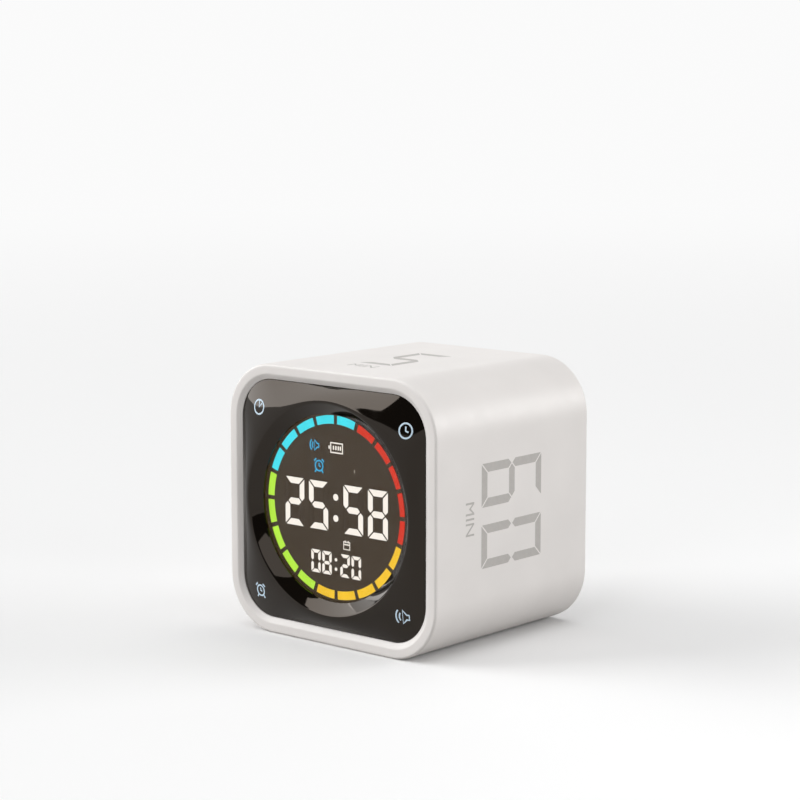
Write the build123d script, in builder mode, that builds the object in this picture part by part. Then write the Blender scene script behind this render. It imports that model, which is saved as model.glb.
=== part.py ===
from build123d import *
import math
import os

# Cube timer with a round display, turned onto one of its sides to start a countdown.
# Millimetres, +Z up, the display faces -Y. The origin is the middle of the footprint, on the
# surface that the cube stands on. Depths are measured backwards from the front lip.

# Housing: a square tube with large corner rounds, open at the back
cube_edge = 60.0
housing_depth = 52.5
corner_radius = 12.5
wall = 2.2
front_edge_radius = 0.6
back_edge_chamfer = 0.8
lip_width = 2.2
bevel_width = 1.2
bevel_depth = 0.8
ledge_width = 1.5
ledge_thickness = 2.0
boss_radius = 4.0
boss_inset = 8.0
boss_length = 24.0
web_thickness = 2.0
web_bite = 0.8
inner_sides = 8

# Front bezel: a pillow that rises from the square edge to a round rim, with a dish inside the rim
bezel_gap = 0.1
bezel_depth = 2.4
bezel_rise = 0.9
bezel_margin = 3.0
pillow_round_share = 0.5
pillow_height_share = 0.68
rim_land = 0.4
dish_width = 2.5
dish_depth = 1.9
throat_land = 0.3
bezel_post_radius = 2.1
bezel_post_edge = 2.6
bezel_post_gap = 0.45
tape_thickness = 0.3

# Round window, and the light mask behind it
window_ledge = 1.4
window_thickness = 1.0
window_gap = 0.1
mask_seat = 0.6
mask_depth = 4.6
mask_sides = 24
plug_depth = 1.0
plug_gap = 0.05

# Ring of light bars: four colours, five bars of each, clockwise from just after twelve o'clock
ring_inset = 0.45
ring_width = 1.9
bars_per_colour = 5
bar_angle_gap = 2.7
first_bar_angle = 72.0

# Seven-segment digits, laid out as shares of the ring's inner radius
time_height_share = 0.585
time_width_share = 0.312
time_stroke_share = 0.0785
time_centre_shares = (-0.663, -0.277, 0.277, 0.663)
time_level_share = 0.0
time_colon_share = 0.127
time_dot_share = 0.043
clock_height_share = 0.279
clock_width_share = 0.1545
clock_stroke_share = 0.043
clock_centre_shares = (-0.323, -0.145, 0.145, 0.323)
clock_level_share = -0.682
clock_colon_share = 0.057
clock_dot_share = 0.023
stroke_gap_share = 0.2
dot_sides = 12
time_shown = ("abged", "afgcd", "afgcd", "abcdefg")
clock_shown = ("abcdef", "abcdefg", "abged", "abcdef")

# Display board with its lights, touch rings and screws
display_board_gap = 0.4
display_board_thickness = 1.2
led_length = 1.4
led_width = 0.7
led_height = 0.6
small_led_size = 0.4
touch_ring_radius = 2.5
touch_ring_bore = 1.5
touch_inset_x = 3.6
touch_inset_z = 4.3
small_screw_radius = 0.95
small_head_radius = 1.8
small_head_height = 1.3
small_screw_bite = 4.0
screw_gap = 0.05
screw_clearance = 0.25

# Main board, on posts of the rear cover, with its ribbon and sockets
cover_thickness = 2.2
cover_gap = 0.1
cover_post_length = 7.3
cover_post_radius = 2.5
cover_post_inset = 4.5
main_board_thickness = 1.6
main_board_gap = 2.8
main_board_boss_gap = 1.0
ribbon_width = 8.0
ribbon_thickness = 0.3
ribbon_clear = 3.5
socket_length = 9.5
socket_width = 4.0
socket_height = 4.0
chip_height = 1.0
chip_row_rise = 3.0
chip_column = 16.5
controller_size = 7.0
charger_size = 3.4
charger_drop = 4.0
sensor_size = 2.2
sensor_drop = 9.0

# Battery, its foam pad, plug and leads
battery_length = 34.0
battery_height = 22.0
battery_thickness = 8.0
battery_corner = 1.2
foam_thickness = 0.8
foam_margin = 2.0
plug_length = 6.0
plug_clear = 3.5
lead_radius = 0.45
lead_spacing = 2.5
lead_setback = 2.8
lead_bend = 1.5

# Loudspeaker behind the rear cover
speaker_rise = 5.0
speaker_length = 20.0
speaker_width = 14.0
speaker_rim_width = 1.2
speaker_depth = 3.1
speaker_back_thickness = 0.8
magnet_length = 11.0
magnet_width = 8.0
magnet_height = 2.0
magnet_seat = 1.0
cone_setback = 0.5
cone_flat = 1.2
cone_slope = 2.2
cone_depth = 1.2
cone_thickness = 0.3
gasket_thickness = 0.3
gasket_width = 1.4
speaker_lead_spacing = 3.0
speaker_lead_inset = 1.6

# Sound slots, charging socket and power switch in the rear cover
sound_slot_length = 12.0
sound_slot_width = 1.3
sound_slot_pitch = 2.6
sound_slot_count = 4
outlet_edge = 4.5
usb_offset = -9.0
usb_length = 8.94
usb_width = 3.26
usb_wall = 0.3
usb_recess = 0.2
usb_cut_gap = 0.3
usb_base_height = 3.0
tongue_length = 6.7
tongue_thickness = 0.7
tongue_recess = 0.6
switch_offset = 9.0
switch_travel = 2.0
switch_length = 8.6
switch_width = 4.4
switch_height = 4.0
switch_slot_depth = 1.6
lever_size = 1.5
lever_gap = 0.15
lever_foot_gap = 0.2
lever_tip_gap = 0.1
lever_reach = 2.1
knob_gap = 0.2
knob_length = 2.6
knob_width = 2.2
knob_recess = 0.3
knob_edge_chamfer = 0.2
knob_groove = 0.3
knob_flange_length = 8.4
knob_flange_width = 3.8
knob_flange_thickness = 0.8
knob_flange_gap = 0.15
knob_hub_size = 3.2
knob_hub_gap = 0.3
scoop_margin = 1.4
scoop_depth = 0.9
cover_screw_radius = 1.1
cover_head_radius = 2.2
cover_head_height = 1.6
cover_head_recess = 0.3
cover_head_gap = 0.2
cover_screw_bite = 10.0
cut_overrun = 1.0

# Worked out from the sizes above
half = cube_edge / 2
lip_y = bezel_rise - (housing_depth + bezel_rise) / 2
crest_half = half - lip_width
recess_half = crest_half - bevel_width
bezel_half = recess_half - bezel_gap
ledge_half = bezel_half - ledge_width
inner_half = half - wall
ledge_front = bezel_depth + tape_thickness
ledge_back = ledge_front + ledge_thickness
rim_radius = bezel_half - bezel_margin
dish_radius = rim_radius - rim_land
throat_radius = dish_radius - dish_width
window_front = dish_depth + throat_land - bezel_rise
window_radius = throat_radius + window_ledge
mask_radius = window_radius + mask_seat
board_front = bezel_depth + mask_depth
board_back = board_front + display_board_thickness
board_half = ledge_half - display_board_gap
ring_outer = throat_radius - ring_inset
ring_inner = ring_outer - ring_width
bar_count = 4 * bars_per_colour
bar_pitch = 360 / bar_count
post_x = board_half - bezel_post_edge
post_z = math.sqrt((mask_radius + bezel_post_radius + bezel_post_gap) ** 2 - post_x ** 2)
touch_x = board_half - touch_inset_x
touch_z = board_half - touch_inset_z
boss_place = half - boss_inset
inner_corner_reach = (half - corner_radius) * math.sqrt(2) + corner_radius - wall
cover_front = housing_depth - cover_thickness
main_back = cover_front - cover_post_length
main_front = main_back - main_board_thickness
main_half_x = inner_half - main_board_gap
main_half_z = boss_place - boss_radius - main_board_boss_gap
cover_post_x = main_half_x - cover_post_inset
cover_post_z = main_half_z - cover_post_inset
outlet_level = outlet_edge - main_half_z
battery_back = main_front - foam_thickness
battery_front = battery_back - battery_thickness
plug_rise = battery_height / 2 + plug_clear
ribbon_drop = battery_height / 2 + ribbon_clear
speaker_back = cover_front - gasket_thickness - speaker_depth
knob_place = switch_offset + switch_travel / 2
slot_length = knob_length + switch_travel + 2 * knob_gap
slot_width = knob_width + 2 * knob_gap
corners = [(1, 1), (-1, 1), (-1, -1), (1, -1)]


def at_depth(depth):
    """Plane facing the front at a depth behind the lip, centred on the display axis."""
    return Plane(origin=(0, lip_y + depth, half), x_dir=(1, 0, 0), z_dir=(0, -1, 0))


def section_at(across=0, level=0):
    """Plane through an axis that runs front to back: local X is the radius, local Y the depth."""
    return Plane(origin=(across, lip_y, half + level), x_dir=(1, 0, 0), z_dir=(0, 0, 1))


def axis_at(across=0, level=0):
    """Axis that runs front to back through a place on the display plane."""
    return Axis((across, 0, half + level), (0, 1, 0))


def corner_at(half_width):
    """Corner radius of an outline that runs parallel to the housing."""
    return corner_radius - (half - half_width)


def soft_square(half_width):
    """Rounded square parallel to the housing's outline, in the open sketch."""
    RectangleRounded(2 * half_width, 2 * half_width, corner_at(half_width))


def four_places(across, level):
    """The same place in each of the four corners."""
    return Locations(*[(x * across, z * level) for x, z in corners])


def inner_round(radius, mode=Mode.ADD):
    """Round form that the closed case hides, drawn with few sides in the open sketch."""
    RegularPolygon(radius, inner_sides, mode=mode)


def pillow_outline(round_share):
    """Closed outline between the bezel's square edge (share 0) and its round rim (share 1)."""
    straight_half = bezel_half - corner_at(bezel_half)
    turn = math.degrees(math.atan2(straight_half, bezel_half))
    corner_reach = straight_half * math.sqrt(2) + corner_at(bezel_half)
    square_reach = {0: bezel_half, turn: math.hypot(bezel_half, straight_half), 45: corner_reach}

    def point(quarter, reach_key, angle):
        reach = square_reach[reach_key] * (1 - round_share) + rim_radius * round_share
        turned = math.radians(90 * quarter + angle)
        return (reach * math.cos(turned), reach * math.sin(turned))

    with BuildLine() as outline:
        for quarter in range(4):
            side = point(quarter, turn, -turn), point(quarter, 0, 0), point(quarter, turn, turn)
            if round_share:
                ThreePointArc(*side)
            else:
                Line(side[0], side[2])
            ThreePointArc(side[2], point(quarter, 45, 45), point(quarter, turn, 90 - turn))
    make_face(outline.edges())


def speaker_section(depth, inset):
    """Rectangle of the loudspeaker's outline, drawn in by an inset, at a depth."""
    with BuildSketch(at_depth(depth)) as section:
        with Locations((0, speaker_rise)):
            Rectangle(speaker_length - 2 * inset, speaker_width - 2 * inset)
    return section.sketch.face()


def speaker_box(depth, length, inset, mode=Mode.ADD):
    """Block of the loudspeaker's outline, drawn in by an inset, backwards from a depth."""
    extrude(speaker_section(depth, inset), amount=-length, mode=mode)


def bar_sector(index, inset, mode=Mode.ADD):
    """One light bar of the ring, counted clockwise, drawn in by an inset."""
    radius = (ring_inner + ring_outer) / 2
    start = first_bar_angle - bar_pitch * (index + 1) + bar_angle_gap / 2 + math.degrees(inset / radius)
    span = bar_pitch - bar_angle_gap - 2 * math.degrees(inset / radius)
    with BuildLine() as outline:
        outer = CenterArc((0, 0), ring_outer - inset, start, span)
        inner = CenterArc((0, 0), ring_inner + inset, start, span)
        Line(outer @ 0, inner @ 0)
        Line(outer @ 1, inner @ 1)
    make_face(outline.edges(), mode=mode)


# Middle of each stroke of a digit, as shares of the half width and half height
stroke_shares = {
    "a": (0, 1), "b": (1, 0.5), "c": (1, -0.5), "d": (0, -1), "e": (-1, -0.5), "f": (-1, 0.5), "g": (0, 0),
}


class DigitRow:
    """Four seven-segment digits with a colon, in shares of the ring's inner radius."""

    def __init__(self, height, width, stroke, centres, level, colon, dot, shown):
        self.half_width = width * ring_inner / 2
        self.half_height = height * ring_inner / 2
        self.stroke = stroke * ring_inner
        self.centres = [centre * ring_inner for centre in centres]
        self.level = level * ring_inner
        self.colon = colon * ring_inner
        self.dot = dot * ring_inner
        self.shown = shown

    def strokes(self, lit):
        """List the name of each stroke that is lit or dark, with its digit's centre."""
        found = []
        for centre, shown in zip(self.centres, self.shown):
            found += [(name, centre) for name in stroke_shares if (name in shown) == lit]
        return found

    def dots(self):
        """Places of the colon's two dots."""
        return [(0, self.level + self.colon), (0, self.level - self.colon)]

    def light_places(self):
        """Middle of every stroke and dot, where its light sits."""
        found = self.dots()
        for name, centre in self.strokes(True) + self.strokes(False):
            x_share, z_share = stroke_shares[name]
            across = centre + x_share * (self.half_width - self.stroke / 2)
            found.append((across, self.level + z_share * (self.half_height - self.stroke / 2)))
        return found

    def corners(self, name, inset):
        """Corners of a stroke round its digit's centre, mitred at its ends and drawn in by an inset."""
        side = self.half_width - inset
        top = self.half_height - inset
        stroke = self.stroke - 2 * inset
        mitre = stroke_gap_share * self.stroke / math.sqrt(2) + inset * math.sqrt(2)
        x_share, z_share = stroke_shares[name]
        tip = stroke / 2
        if x_share:
            points = [(side - stroke, top - stroke - mitre), (side - stroke, tip + mitre)]
            points += [(side - tip, mitre), (side, tip + mitre), (side, top - mitre)]
        elif z_share:
            points = [(mitre + stroke - side, top - stroke), (side - stroke - mitre, top - stroke)]
            points += [(side - mitre, top), (mitre - side, top)]
        else:
            reach = side - tip - mitre
            points = [(-reach, 0), (tip - reach, -tip), (reach - tip, -tip)]
            points += [(reach, 0), (reach - tip, tip), (tip - reach, tip)]
        right = -1 if x_share < 0 else 1
        up = -1 if z_share < 0 else 1
        turned = points if right * up > 0 else points[::-1]
        return [(right * x, up * z) for x, z in turned]

    def draw(self, lit, inset, mode=Mode.ADD):
        """Draw the lit or dark strokes, and the colon with the lit ones, drawn in by an inset."""
        for name, centre in self.strokes(lit):
            with Locations((centre, self.level)):
                Polygon(*self.corners(name, inset), align=None, mode=mode)
        if lit:
            with Locations(*self.dots()):
                RegularPolygon(self.dot - inset, dot_sides, mode=mode)


time_row = DigitRow(
    time_height_share, time_width_share, time_stroke_share, time_centre_shares,
    time_level_share, time_colon_share, time_dot_share, time_shown,
)
clock_row = DigitRow(
    clock_height_share, clock_width_share, clock_stroke_share, clock_centre_shares,
    clock_level_share, clock_colon_share, clock_dot_share, clock_shown,
)

# Housing
with BuildPart() as housing:
    with BuildSketch(at_depth(0)):
        soft_square(half)
    extrude(amount=-housing_depth)
    fillet(housing.faces().sort_by(Axis.Y)[0].edges(), front_edge_radius)
    chamfer(housing.faces().sort_by(Axis.Y)[-1].edges(), back_edge_chamfer)
    with BuildSketch(at_depth(0)):
        soft_square(crest_half)
    with BuildSketch(at_depth(bevel_depth)):
        soft_square(recess_half)
    loft(ruled=True, mode=Mode.SUBTRACT)
    with BuildSketch(at_depth(bevel_depth)):
        soft_square(recess_half)
    extrude(amount=bevel_depth - ledge_front, mode=Mode.SUBTRACT)
    with BuildSketch(at_depth(ledge_front)):
        soft_square(ledge_half)
    extrude(amount=-ledge_thickness, mode=Mode.SUBTRACT)
    with BuildSketch(at_depth(ledge_back)):
        soft_square(inner_half)
    extrude(amount=ledge_back - housing_depth, mode=Mode.SUBTRACT)
    # Screw bosses, each webbed to its corner
    with BuildSketch(at_depth(cover_front - boss_length)):
        with PolarLocations(boss_place * math.sqrt(2), 4, start_angle=45):
            inner_round(boss_radius)
            web_length = inner_corner_reach - boss_place * math.sqrt(2) + web_bite
            Rectangle(web_length, web_thickness, align=(Align.MIN, Align.CENTER))
    extrude(amount=-boss_length)
    with BuildSketch(at_depth(cover_front - cover_screw_bite)):
        with four_places(boss_place, boss_place):
            inner_round(cover_screw_radius + screw_gap)
    extrude(amount=-cover_screw_bite, mode=Mode.SUBTRACT)
housing.part.label = "housing"

# Bezel: pillow, dish and the four posts that carry the display board
with BuildPart() as front_bezel:
    pillow_rise = bevel_depth + bezel_rise
    with BuildSketch(at_depth(bevel_depth)):
        pillow_outline(0)
    with BuildSketch(at_depth(bevel_depth - pillow_height_share * pillow_rise)):
        pillow_outline(pillow_round_share)
    with BuildSketch(at_depth(-bezel_rise)):
        pillow_outline(1)
    loft()
    with BuildSketch(at_depth(bevel_depth)):
        pillow_outline(0)
    extrude(amount=bevel_depth - bezel_depth)
    with BuildSketch(section_at()):
        with BuildLine():
            Polyline(
                (0, -bezel_rise - cut_overrun),
                (dish_radius, -bezel_rise - cut_overrun),
                (dish_radius, -bezel_rise),
                (throat_radius, dish_depth - bezel_rise),
                (throat_radius, window_front),
                (window_radius + window_gap, window_front),
                (window_radius + window_gap, bezel_depth + cut_overrun),
                (0, bezel_depth + cut_overrun),
                close=True,
            )
        make_face()
    revolve(axis=axis_at(), mode=Mode.SUBTRACT)
    with BuildSketch(at_depth(bezel_depth)):
        with four_places(post_x, post_z):
            inner_round(bezel_post_radius)
            inner_round(small_screw_radius + screw_gap, mode=Mode.SUBTRACT)
    extrude(amount=-mask_depth)
front_bezel.part.label = "front_bezel"

with BuildPart() as bezel_tape:
    with BuildSketch(at_depth(bezel_depth)):
        soft_square(bezel_half)
        RectangleRounded(2 * ledge_half, 2 * ledge_half, corner_at(ledge_half), mode=Mode.SUBTRACT)
    extrude(amount=-tape_thickness)
bezel_tape.part.label = "bezel_tape"

with BuildPart() as display_window:
    with BuildSketch(at_depth(window_front)):
        Circle(window_radius)
    extrude(amount=-window_thickness)
display_window.part.label = "display_window"

# Mask with a light well behind every bar, stroke and dot
with BuildPart() as display_mask:
    with BuildSketch(at_depth(bezel_depth)):
        RegularPolygon(mask_radius, mask_sides)
        for index in range(bar_count):
            bar_sector(index, 0, mode=Mode.SUBTRACT)
        for row in (time_row, clock_row):
            row.draw(True, 0, mode=Mode.SUBTRACT)
            row.draw(False, 0, mode=Mode.SUBTRACT)
    extrude(amount=-mask_depth)
display_mask.part.label = "display_mask"

# Clear plugs that fill the front of the wells
ring_pieces = []
for order, colour in enumerate(("red", "amber", "green", "cyan")):
    with BuildPart() as ring_bars:
        with BuildSketch(at_depth(bezel_depth)):
            for index in range(bars_per_colour):
                bar_sector(order * bars_per_colour + index, plug_gap)
        extrude(amount=-plug_depth)
    ring_bars.part.label = "ring_" + colour + "_bars"
    ring_pieces.append(ring_bars.part)

digit_pieces = []
for row_name, row in (("time", time_row), ("clock", clock_row)):
    for lit, state in ((True, "lit"), (False, "dark")):
        with BuildPart() as digit_plugs:
            with BuildSketch(at_depth(bezel_depth)):
                row.draw(lit, plug_gap)
            extrude(amount=-plug_depth)
        digit_plugs.part.label = row_name + "_digits_" + state
        digit_pieces.append(digit_plugs.part)

# Display board
with BuildPart() as display_board:
    with BuildSketch(at_depth(board_front)):
        soft_square(board_half)
        with four_places(post_x, post_z):
            inner_round(small_screw_radius + screw_clearance, mode=Mode.SUBTRACT)
    extrude(amount=-display_board_thickness)
display_board.part.label = "display_board"

with BuildPart() as display_leds:
    with BuildSketch(at_depth(board_front - led_height)):
        with PolarLocations((ring_inner + ring_outer) / 2, bar_count, start_angle=bar_pitch / 2):
            Rectangle(led_width, led_length)
        with Locations(*time_row.light_places()):
            Rectangle(led_width, led_width)
        with Locations(*clock_row.light_places()):
            Rectangle(small_led_size, small_led_size)
        with four_places(touch_x, touch_z):
            Rectangle(led_length, led_length)
    extrude(amount=-led_height)
display_leds.part.label = "display_leds"

with BuildPart() as touch_rings:
    with BuildSketch(at_depth(bezel_depth)):
        with four_places(touch_x, touch_z):
            inner_round(touch_ring_radius)
            inner_round(touch_ring_bore, mode=Mode.SUBTRACT)
    extrude(amount=-mask_depth)
touch_rings.part.label = "touch_rings"

with BuildPart() as display_screws:
    with BuildSketch(at_depth(board_back)):
        with four_places(post_x, post_z):
            inner_round(small_head_radius)
    extrude(amount=-small_head_height)
    with BuildSketch(at_depth(board_back)):
        with four_places(post_x, post_z):
            inner_round(small_screw_radius)
    extrude(amount=display_board_thickness + small_screw_bite)
display_screws.part.label = "display_screws"

# Ribbon between the two boards, with a socket on each
with BuildPart() as display_socket:
    with BuildSketch(at_depth(board_back)):
        with Locations((0, -ribbon_drop)):
            Rectangle(socket_length, socket_width)
    extrude(amount=-socket_height)
display_socket.part.label = "display_socket"

with BuildPart() as ribbon_cable:
    with BuildSketch(at_depth(board_back + socket_height)):
        with Locations((0, -ribbon_drop)):
            Rectangle(ribbon_width, ribbon_thickness)
    extrude(amount=board_back + 2 * socket_height - main_front)
ribbon_cable.part.label = "ribbon_cable"

with BuildPart() as main_socket:
    with BuildSketch(at_depth(main_front - socket_height)):
        with Locations((0, -ribbon_drop)):
            Rectangle(socket_length, socket_width)
    extrude(amount=-socket_height)
main_socket.part.label = "main_socket"

# Main board, its chips and screws
with BuildPart() as main_board:
    with BuildSketch(at_depth(main_front)):
        Rectangle(2 * main_half_x, 2 * main_half_z)
        with four_places(cover_post_x, cover_post_z):
            inner_round(small_screw_radius + screw_clearance, mode=Mode.SUBTRACT)
    extrude(amount=-main_board_thickness)
main_board.part.label = "main_board"

with BuildPart() as board_chips:
    with BuildSketch(at_depth(main_back)):
        with Locations((-chip_column, chip_row_rise)):
            Rectangle(controller_size, controller_size)
        with Locations((chip_column, chip_row_rise)):
            Rectangle(charger_size, charger_size)
        with Locations((chip_column, chip_row_rise - charger_drop)):
            Rectangle(sensor_size, sensor_size)
        with Locations((-chip_column, chip_row_rise - sensor_drop)):
            Rectangle(sensor_size, sensor_size)
    extrude(amount=-chip_height)
board_chips.part.label = "board_chips"

with BuildPart() as board_screws:
    with BuildSketch(at_depth(main_front - small_head_height)):
        with four_places(cover_post_x, cover_post_z):
            inner_round(small_head_radius)
    extrude(amount=-small_head_height)
    with BuildSketch(at_depth(main_front)):
        with four_places(cover_post_x, cover_post_z):
            inner_round(small_screw_radius)
    extrude(amount=-main_board_thickness - small_screw_bite)
board_screws.part.label = "board_screws"

# Battery on its foam pad, with its leads and plug
with BuildPart() as battery_foam:
    with BuildSketch(at_depth(battery_back)):
        Rectangle(battery_length - 2 * foam_margin, battery_height - 2 * foam_margin)
    extrude(amount=-foam_thickness)
battery_foam.part.label = "battery_foam"

with BuildPart() as battery_cell:
    with BuildSketch(at_depth(battery_front)):
        Rectangle(battery_length, battery_height)
    extrude(amount=-battery_thickness)
    fillet(battery_cell.edges().filter_by(Axis.X), battery_corner)
battery_cell.part.label = "battery_cell"

with BuildPart() as battery_plug:
    with BuildSketch(at_depth(main_front - socket_height)):
        with Locations((0, plug_rise)):
            Rectangle(plug_length, socket_width)
    extrude(amount=-socket_height)
battery_plug.part.label = "battery_plug"

plug_y = lip_y + main_front - socket_height
with BuildPart() as battery_leads:
    for side in (1, -1):
        lead_x = side * lead_spacing / 2
        with BuildLine() as lead_path:
            Polyline(
                (lead_x, plug_y - lead_setback, half + battery_height / 2),
                (lead_x, plug_y - lead_setback, half + plug_rise - lead_bend),
                (lead_x, plug_y - lead_setback + lead_bend, half + plug_rise),
                (lead_x, plug_y, half + plug_rise),
            )
        with BuildSketch(Plane(origin=lead_path.line @ 0, z_dir=lead_path.line % 0)):
            inner_round(lead_radius)
        sweep(path=lead_path.line, transition=Transition.RIGHT)
battery_leads.part.label = "battery_leads"

# Loudspeaker: frame, cone, magnet, gasket and leads
with BuildPart() as speaker_frame:
    speaker_box(speaker_back, speaker_depth, 0)
    speaker_box(speaker_back + speaker_back_thickness, speaker_depth, speaker_rim_width, Mode.SUBTRACT)
    with BuildSketch(at_depth(speaker_back)):
        with Locations((0, speaker_rise)):
            Rectangle(magnet_length - 2 * magnet_seat, magnet_width - 2 * magnet_seat)
    extrude(amount=-speaker_back_thickness, mode=Mode.SUBTRACT)
speaker_frame.part.label = "speaker_frame"

cone_front = speaker_back + speaker_depth - cone_setback
cone_edge = speaker_rim_width + plug_gap
with BuildPart() as speaker_cone:
    cone_rim = speaker_section(cone_front, cone_edge)
    cone_foot = speaker_section(cone_front - cone_depth, cone_edge + cone_slope)
    loft([cone_rim, cone_foot], ruled=True)
    bowl_rim = speaker_section(cone_front, cone_edge + cone_flat)
    bowl_foot = speaker_section(cone_front - cone_depth + cone_thickness, cone_edge + cone_flat + cone_slope)
    loft([bowl_rim, bowl_foot], ruled=True, mode=Mode.SUBTRACT)
speaker_cone.part.label = "speaker_cone"

with BuildPart() as speaker_magnet:
    with BuildSketch(at_depth(speaker_back - magnet_height)):
        with Locations((0, speaker_rise)):
            Rectangle(magnet_length, magnet_width)
    extrude(amount=-magnet_height)
speaker_magnet.part.label = "speaker_magnet"

with BuildPart() as speaker_gasket:
    speaker_box(speaker_back + speaker_depth, gasket_thickness, 0)
    speaker_box(speaker_back + speaker_depth, gasket_thickness, gasket_width, Mode.SUBTRACT)
speaker_gasket.part.label = "speaker_gasket"

lead_level = speaker_rise + speaker_width / 2 - speaker_lead_inset
with BuildPart() as speaker_leads:
    with BuildSketch(at_depth(speaker_back)):
        for side in (1, -1):
            with Locations((side * speaker_lead_spacing / 2, lead_level)):
                inner_round(lead_radius)
    extrude(amount=speaker_back - main_back)
speaker_leads.part.label = "speaker_leads"

# Charging socket: a standing shell with a contact tongue on its base
usb_back = housing_depth - usb_recess
with BuildPart() as usb_shell:
    with BuildSketch(at_depth(main_back)):
        with Locations((usb_offset, outlet_level)):
            SlotOverall(usb_length, usb_width)
            SlotOverall(usb_length - 2 * usb_wall, usb_width - 2 * usb_wall, mode=Mode.SUBTRACT)
    extrude(amount=main_back - usb_back)
usb_shell.part.label = "usb_shell"

with BuildPart() as usb_tongue:
    with BuildSketch(at_depth(main_back)):
        with Locations((usb_offset, outlet_level)):
            SlotOverall(usb_length - 2 * usb_wall - 2 * plug_gap, usb_width - 2 * usb_wall - 2 * plug_gap)
    extrude(amount=-usb_base_height)
    with BuildSketch(at_depth(main_back + usb_base_height)):
        with Locations((usb_offset, outlet_level)):
            Rectangle(tongue_length, tongue_thickness)
    extrude(amount=main_back + usb_base_height + tongue_recess - usb_back)
usb_tongue.part.label = "usb_tongue"

# Power switch: fixed case, lever, and the knob that shows in the rear cover
switch_back = main_back + switch_height
lever_foot = switch_back - switch_slot_depth + lever_foot_gap
lever_tip = switch_back + lever_reach
with BuildPart() as switch_case:
    with BuildSketch(at_depth(main_back)):
        with Locations((switch_offset, outlet_level)):
            Rectangle(switch_length, switch_width)
    extrude(amount=-switch_height)
    with BuildSketch(at_depth(switch_back - switch_slot_depth)):
        with Locations((switch_offset, outlet_level)):
            Rectangle(lever_size + switch_travel + 2 * lever_gap, lever_size + 2 * lever_gap)
    extrude(amount=-switch_slot_depth, mode=Mode.SUBTRACT)
switch_case.part.label = "switch_case"

with BuildPart() as switch_lever:
    with BuildSketch(at_depth(lever_foot)):
        with Locations((knob_place, outlet_level)):
            Rectangle(lever_size, lever_size)
    extrude(amount=lever_foot - lever_tip)
switch_lever.part.label = "switch_lever"

flange_back = cover_front - knob_flange_gap
flange_front = flange_back - knob_flange_thickness
hub_front = switch_back + knob_hub_gap
knob_back = housing_depth - knob_recess
with BuildPart() as power_knob:
    with BuildSketch(at_depth(hub_front)):
        with Locations((knob_place, outlet_level)):
            Rectangle(knob_hub_size, knob_hub_size)
    extrude(amount=hub_front - flange_front)
    with BuildSketch(at_depth(flange_front)):
        with Locations((knob_place, outlet_level)):
            Rectangle(knob_flange_length, knob_flange_width)
    extrude(amount=-knob_flange_thickness)
    with BuildSketch(at_depth(flange_back)):
        with Locations((knob_place, outlet_level)):
            Rectangle(knob_length, knob_width)
    extrude(amount=flange_back - knob_back)
    chamfer(power_knob.faces().sort_by(Axis.Y)[-1].edges(), knob_edge_chamfer)
    with BuildSketch(at_depth(knob_back - knob_groove)):
        for side in (1, 0, -1):
            with Locations((knob_place + side * knob_length / 4, outlet_level)):
                Rectangle(knob_groove, knob_width)
    extrude(amount=-knob_groove, mode=Mode.SUBTRACT)
    with BuildSketch(at_depth(hub_front)):
        with Locations((knob_place, outlet_level)):
            Rectangle(lever_size + 2 * plug_gap, lever_size + 2 * plug_gap)
    extrude(amount=hub_front - lever_tip - lever_tip_gap, mode=Mode.SUBTRACT)
power_knob.part.label = "power_knob"

# Rear cover, flush with the housing, with its board posts and outlets
cover_half = inner_half - cover_gap
with BuildPart() as rear_cover:
    with BuildSketch(at_depth(cover_front)):
        soft_square(cover_half)
    extrude(amount=-cover_thickness)
    with BuildSketch(at_depth(main_back)):
        with four_places(cover_post_x, cover_post_z):
            inner_round(cover_post_radius)
    extrude(amount=-cover_post_length)
    with BuildSketch(at_depth(main_back)):
        with four_places(cover_post_x, cover_post_z):
            inner_round(small_screw_radius + screw_gap)
    extrude(amount=-small_screw_bite, mode=Mode.SUBTRACT)
    # Scoop for the thumb round the knob's slot
    with BuildSketch(at_depth(housing_depth - scoop_depth)):
        with Locations((switch_offset, outlet_level)):
            SlotOverall(slot_length + 2 * scoop_margin, slot_width + 2 * scoop_margin)
    extrude(amount=-scoop_depth, mode=Mode.SUBTRACT)
    # Cut right through: knob slot, socket mouth, sound slots and screw holes
    with BuildSketch(at_depth(cover_front)):
        with Locations((switch_offset, outlet_level)):
            Rectangle(slot_length, slot_width)
        with Locations((usb_offset, outlet_level)):
            SlotOverall(usb_length + 2 * usb_cut_gap, usb_width + 2 * usb_cut_gap)
        with Locations((0, speaker_rise)):
            with GridLocations(0, sound_slot_pitch, 1, sound_slot_count):
                SlotOverall(sound_slot_length, sound_slot_width)
        with four_places(boss_place, boss_place):
            inner_round(cover_screw_radius + screw_clearance)
    extrude(amount=-cover_thickness, mode=Mode.SUBTRACT)
    with BuildSketch(at_depth(housing_depth - cover_head_height - cover_head_recess)):
        with four_places(boss_place, boss_place):
            Circle(cover_head_radius + cover_head_gap)
    extrude(amount=-cover_head_height - cover_head_recess, mode=Mode.SUBTRACT)
rear_cover.part.label = "rear_cover"

head_front = housing_depth - cover_head_recess - cover_head_height
with BuildPart() as cover_screws:
    with BuildSketch(at_depth(head_front)):
        with four_places(boss_place, boss_place):
            Circle(cover_head_radius)
    extrude(amount=-cover_head_height)
    with BuildSketch(at_depth(head_front)):
        with four_places(boss_place, boss_place):
            inner_round(cover_screw_radius)
    extrude(amount=head_front - cover_front + cover_screw_bite)
cover_screws.part.label = "cover_screws"

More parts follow.
